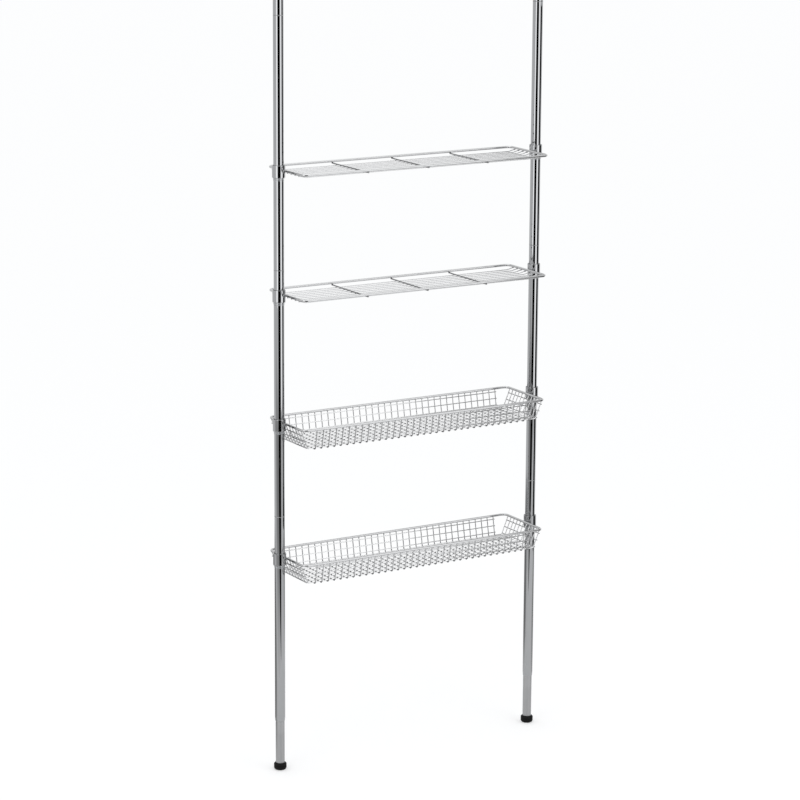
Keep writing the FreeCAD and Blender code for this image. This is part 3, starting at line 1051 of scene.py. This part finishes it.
@dataclass
class WireShelf(Tier):
    """A flat shelf: braces under the rim and thin deck wires welded under the braces."""

    braces: Row = Row(Axis.X, 0.166, 3)
    deck: Row = Row(Axis.Y, 0.0186, 8)
    deck_ramp: float = 0.014
    deck_land: float = 0.005
    deck_bend: float = 0.008
    deck_overrun: float = 0.0015
    end_rounding: float = 0.18
    brace_weld: Size = (0.0046, 0.004, 0.0016)
    deck_weld: Size = (0.0034, 0.0028, 0.0014)
    deck_end_weld: Size = (0.0036, 0.0028, 0.0014)

    def build(self) -> None:
        """Build the rim, the clamps, the braces and the deck."""
        super().build()
        self.build_braces()
        self.build_deck()

    def build_braces(self) -> None:
        """The cross wires that carry the deck."""
        low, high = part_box(self.node("cross_wires"))
        wire = high.z - low.z
        ends = [
            self.braces.first + Vector((0.0, y, (low.z + high.z) / 2)) for y in (low.y, high.y)
        ]
        brace = Workpiece.bent(ends, 0.0, wire, sides=16)
        brace.soften(wire * self.end_rounding).repeat(self.braces)
        brace.join(self.under_rim(self.brace_weld, self.braces))
        self.fit(brace, "cross_wires", "braces", BRACE_CHROME)

    def build_deck(self) -> None:
        """The long wires, bent up at both ends to lie under the end rims."""
        low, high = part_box(self.node("long_wires"))
        wire = high.y - low.y - 2 * self.deck.reach
        tip = self.half_length + self.deck_overrun
        top = tip - self.deck_land
        foot = top - self.deck_ramp
        upper = self.level - (self.rim_wire + wire) / 2
        lower = low.z + wire / 2
        half = ((foot, lower), (top, upper), (tip, upper))
        path = [*((-x, z) for x, z in reversed(half)), *half]
        corners = [self.deck.first + Vector((x, 0.0, z)) for x, z in path]
        deck = Workpiece.bent(corners, self.deck_bend, wire, steps=3)
        deck.soften(wire * self.end_rounding, segments=2).repeat(self.deck)
        deck.join(
            Workpiece.welds(self.deck_weld, up(lower + wire / 2), self.braces, self.deck),
            self.under_rim(self.deck_end_weld, self.deck),
        )
        self.fit(deck, "long_wires", "deck", DECK_CHROME)


@dataclass(frozen=True)
class Net:
    """A row of U-shaped wires whose ends stand in two facing walls of a basket."""

    wires: Row
    half: float
    inset: float
    top: float
    floor: float

    def corners(self) -> list[Vector]:
        """The corners of the first wire, from one end to the other."""
        top, floor = (self.wires.first + up(height) for height in (self.top, self.floor))
        run = self.wires.across.vector
        half, foot = run * self.half, run * (self.half - self.inset)
        return [top - half, floor - foot, floor + foot, top + half]

    def beside(self, sign: int, height: float, offset: float) -> Vector:
        """A place beside the middle of a wall.

        Args:
            sign: The wall's side of the middle, -1 or 1.
            height: Height of the place, taken along the wires' centres.
            offset: Distance from the wires' centres, inwards.

        Returns:
            The place.
        """
        slope = self.inset / (self.top - self.floor)
        lean = math.atan(slope)
        reach = self.half - (self.top - height) * slope - offset * math.cos(lean)
        return self.wires.across.vector * sign * reach + up(height + offset * math.sin(lean))


@dataclass
class WireBasket(Tier):
    """A basket: net wires both ways, and wires along each of its walls."""

    cross: Row = Row(Axis.X, 0.0179, 35)
    long: Row = Row(Axis.Y, 0.0146, 11)
    net_wire: float = 0.0025
    net_sides: int = 10
    depth: float = 0.0498
    bend: float = 0.005
    bend_steps: int = 5
    wall_inset: float = 0.009
    end_inset: float = 0.018
    weld_gap: float = 0.0002
    side_rail_drop: float = 0.0085
    end_rail_drop: float = 0.012
    rail_pitch: float = 0.01625
    rail_count: int = 3
    rail_overrun: float = 0.002
    rail_rounding: float = 0.15
    rail_weld: float = 0.0024
    rail_weld_sunk: float = 0.001
    top_weld: Size = (0.0036, 0.003, 0.0016)
    crossing_weld: Size = (0.0022, 0.0022, 0.001)
    dull_rise: float = 0.004

    def build(self) -> None:
        """Build the rim, the clamps, the net and the wall wires."""
        super().build()
        top = self.level - self.rim_wire / 2 - self.weld_gap
        floor = self.level - self.depth
        cross = Net(self.cross, self.half_depth, self.wall_inset, top, floor)
        long = Net(self.long, self.half_length, self.end_inset, top, floor + self.net_wire)
        crossings = Workpiece.welds(
            self.crossing_weld, up(floor + self.net_wire / 2), self.cross, self.long
        )
        # The cross net's floor wires get painted shade: their tone is darker up to just above the
        # basket floor.
        floor_shaded_net = replace(
            CROSS_CHROME, name=self.node(CROSS_CHROME.name), dulled_below=floor + self.dull_rise
        )
        self.fit(self.net(cross).join(crossings), "cross_wires", "net", floor_shaded_net)
        self.fit(self.net(long), "long_wires", "net", LONG_CHROME)
        side_rails = self.rails(cross, self.side_rail_drop, self.net_wire)
        self.fit(side_rails, "side_rails", "wires", LONG_CHROME)
        end_rails = self.rails(long, self.end_rail_drop, -self.net_wire)
        self.fit(end_rails, "end_rails", "wires", END_CHROME)

    def net(self, net: Net) -> Workpiece:
        """A net's wires, welded under the rim.

        Args:
            net: Their row and their shape.

        Returns:
            All of them as one piece.
        """
        wires = Workpiece.bent(
            net.corners(), self.bend, self.net_wire, sides=self.net_sides, steps=self.bend_steps
        ).repeat(net.wires)
        along, through, deep = self.top_weld
        size = self.top_weld if net.wires.across is Axis.Y else (through, along, deep)
        return wires.join(self.under_rim(size, net.wires))

    def rails(self, net: Net, drop: float, offset: float) -> Workpiece:
        """The wires along the pair of walls in which a net's wires stand, with their weld spots.

        Args:
            net: The net.
            drop: How far below the rim's centre the highest wire is.
            offset: From the net wires' centres to these wires' centres, inwards.

        Returns:
            All of them as one piece.
        """
        along = net.wires.axis.vector
        end = along * (net.wires.reach + self.rail_overrun)
        size = Vector((self.rail_weld,) * 3) - net.wires.across.vector * self.rail_weld_sunk
        pieces = []
        for number in range(self.rail_count):
            height = self.level - drop - number * self.rail_pitch
            for sign in (-1, 1):
                middle = net.beside(sign, height, offset)
                rail = Workpiece.bent(
                    [middle - end, middle + end], 0.0, self.net_wire, sides=self.net_sides
                )
                rail.soften(self.net_wire * self.rail_rounding, segments=2)
                contact = net.beside(sign, height, offset / 2)
                pieces += [rail, Workpiece.welds(size, contact, net.wires)]
        return pieces[0].join(*pieces[1:])


# ---- studio and camera


class Stance(Enum):
    """How a panel is set up."""

    UPRIGHT = "upright, facing straight ahead"
    AIMED = "facing the middle of the unit"
    LYING = "lying flat, its far edge towards the unit"


@dataclass(frozen=True)
class Panel:
    """A flat light or card that faces the unit.

    The bearing is in degrees to the right of the camera, as the camera sees it. The level is the
    brightness of the panel's face, where the white floor's is 1. Rings are the levels from the
    middle outwards, each with its place as a share of the half width.
    """

    name: str
    bearing: float
    distance: float
    height: float
    size: tuple[float, float]
    level: float
    stance: Stance = Stance.AIMED
    sides: int = 4
    rings: tuple[Point, ...] = ()


@dataclass
class Studio:
    """A pale floor, a white surround, soft lamps and cards for the chrome to reflect."""

    view_bearing: float
    floor_size: float = 120.0
    floor_tone: float = 0.72
    floor_lift: float = 0.38
    surround: float = 0.85
    surround_colour: Colour = (0.98, 0.99, 1.0)
    aim_height: float = 1.2
    lamps: tuple[Panel, ...] = (
        Panel("right_softbox", 50.5, 3.3, 1.3, (2.1, 2.4), 1.0),
        Panel("left_softbox", -32.5, 3.45, 1.65, (1.6, 2.3), 1.2),
    )
    cards: tuple[Panel, ...] = (
        Panel("camera_card", 7.0, 3.22, 1.25, (2.95, 2.49), 0.0, Stance.UPRIGHT),
        Panel("right_card", 93.0, 1.9, 0.84, (1.4, 1.67), 0.0, Stance.UPRIGHT),
        Panel("top_card", 0.0, 0.02, 4.0, (3.4, 3.4), 2.0),
        Panel(
            "floor_card", -15.0, 2.9, 0.003, (11.0, 3.9), 1.0, Stance.LYING, 64,
            ((0.0, 0.4), (0.45, 0.5), (1.0, 1.0)),
        ),
        Panel("floor_point", 7.0, 2.445, 0.004, (3.42, 3.09), 0.0, Stance.LYING, 3),
        Panel(
            "left_back_card", -119.0, 1.34, 0.003, (2.3, 2.3), 1.0, Stance.LYING, 48,
            ((0.0, 0.3), (0.75, 0.38), (1.0, 1.0)),
        ),
        Panel(
            "right_back_card", 131.0, 1.55, 0.003, (2.0, 2.0), 1.0, Stance.LYING, 48,
            ((0.0, 0.42), (0.7, 0.5), (1.0, 1.0)),
        ),
    )

    def build(self) -> None:
        """Build the whole studio."""
        self.world()
        self.floor()
        for panel in self.lamps:
            self.lamp(panel)
        for panel in self.cards:
            self.card(panel)

    def stand(self, piece: bpy.types.Object, panel: Panel) -> None:
        """Put a lamp or a card in its place.

        Args:
            piece: The object, which faces down its own -Z.
            panel: Its place.
        """
        bearing = math.radians(panel.bearing) - self.view_bearing
        way = Vector((math.sin(bearing), -math.cos(bearing), 0.0))
        piece.location = way * panel.distance + up(panel.height)
        if panel.stance is Stance.LYING:
            turn = Axis.Y.vector.rotation_difference(-way)
        else:
            aim = up(self.aim_height) - piece.location
            ahead = aim if panel.stance is Stance.AIMED else -way
            turn = ahead.to_track_quat("-Z", "Y")
        piece.rotation_euler = turn.to_euler()

    def world(self) -> None:
        """White to the camera and in reflections, plain soft light for the rest."""
        world = bpy.data.worlds.new("studio_surround")
        world.use_nodes = True
        bpy.context.scene.world = world
        graph = Graph(world.node_tree)
        seen = self.seen(graph)
        soft, white = (
            graph.add("Background", sockets={"Color": (*colour, 1.0), "Strength": strength})
            for colour, strength in ((self.surround_colour, self.surround), (WHITE, 1.0))
        )
        mixed = graph.add("MixShader", sockets={0: seen, 1: soft, 2: white})
        graph.add("OutputWorld", sockets={"Surface": mixed})

    def seen(self, graph: Graph) -> Signal:
        """1 for what the camera, a reflection or a view through plastic sees."""
        path = graph.add("LightPath")
        camera, glossy, through = (
            Signal(graph, path.outputs[f"Is {ray} Ray"])
            for ray in ("Camera", "Glossy", "Transmission")
        )
        return camera | glossy | through

    def floor(self) -> None:
        """A pale floor that keeps the unit's shadow."""
        floor = add_alone(bpy.ops.mesh.primitive_plane_add, size=self.floor_size)
        floor.name = "studio_floor"
        material, graph = new_material("pale_floor")
        graph.surface({
            "Base Color": (*(self.floor_tone,) * 3, 1.0), "Roughness": 0.9,
            "Specular IOR Level": 0.0, "Emission Strength": self.seen(graph) * self.floor_lift,
        })
        floor.data.materials.append(material)

    def lamp(self, panel: Panel) -> None:
        """Hang a softbox.

        Args:
            panel: Its place, size and brightness.
        """
        data = bpy.data.lights.new(panel.name, "AREA")
        data.shape = "RECTANGLE"
        data.size, data.size_y = panel.size
        data.energy = panel.level * math.pi * data.size * data.size_y
        lamp = bpy.data.objects.new(panel.name, data)
        bpy.context.scene.collection.objects.link(lamp)
        self.stand(lamp, panel)

    def card(self, panel: Panel) -> None:
        """Stand a card that only reflections see, as a studio does beside bright metal.

        Args:
            panel: Its place, size and tone.
        """
        if panel.sides == 4:
            sheet = add_alone(bpy.ops.mesh.primitive_plane_add, size=1.0)
        else:
            sheet = add_alone(
                bpy.ops.mesh.primitive_circle_add, vertices=panel.sides, radius=0.5,
                fill_type="NGON",
            )
        sheet.name = panel.name
        sheet.scale = (*panel.size, 1.0)
        self.stand(sheet, panel)
        for kind in ("camera", "diffuse", "transmission", "shadow", "volume_scatter"):
            setattr(sheet, f"visible_{kind}", False)
        material, graph = new_material(panel.name)
        tone = (*WHITE, 1.0)
        if panel.rings:
            reach = graph.add("VectorMath", {"operation": "LENGTH"}, {0: graph.place})
            stops = [(share / 2, (level, level, level, 1.0)) for share, level in panel.rings]
            tone = graph.add("ValToRGB", {"stops": stops}, {"Fac": reach.outputs["Value"]})
        glow = graph.add("Emission", sockets={"Color": tone, "Strength": panel.level})
        graph.add("OutputMaterial", sockets={"Surface": glow})
        sheet.data.materials.append(material)


@dataclass(frozen=True)
class CameraRig:
    """The camera: where it stands and how it is turned."""

    place: tuple[float, float, float] = (-3.7813, -6.2721, 2.5534)
    bearing: float = math.radians(30.920)
    pitch: float = math.radians(12.833)
    roll: float = math.radians(0.344)
    lens: float = 138.465
    sensor: float = 36.0
    sight: float = 200.0

    def build(self) -> None:
        """Stand the camera up and make it the scene's own."""
        ahead = Euler((math.pi / 2 - self.pitch, 0.0, -self.bearing)).to_quaternion()
        turn = ahead @ Quaternion(Axis.Z.vector, self.roll)
        data = bpy.data.cameras.new("camera")
        data.sensor_width, data.lens, data.clip_end = self.sensor, self.lens, self.sight
        camera = bpy.data.objects.new("camera", data)
        bpy.context.scene.collection.objects.link(camera)
        camera.matrix_world = Matrix.Translation(self.place) @ turn.to_matrix().to_4x4()
        bpy.context.scene.camera = camera


# ---- the whole scene


def main() -> None:
    """Build the unit, the studio and the camera."""
    logging.basicConfig(level=logging.INFO, format="%(message)s")
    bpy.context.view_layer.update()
    for side in Side:
        Pole(side).build()
        Leg(side).build()
    for name in ("upper_shelf", "lower_shelf"):
        WireShelf(name).build()
    for name in ("upper_basket", "lower_basket"):
        WireBasket(name).build()
    rig = CameraRig()
    rig.build()
    Studio(rig.bearing).build()
    bpy.context.scene.view_settings.view_transform = "Standard"


if __name__ == "__main__":
    main()
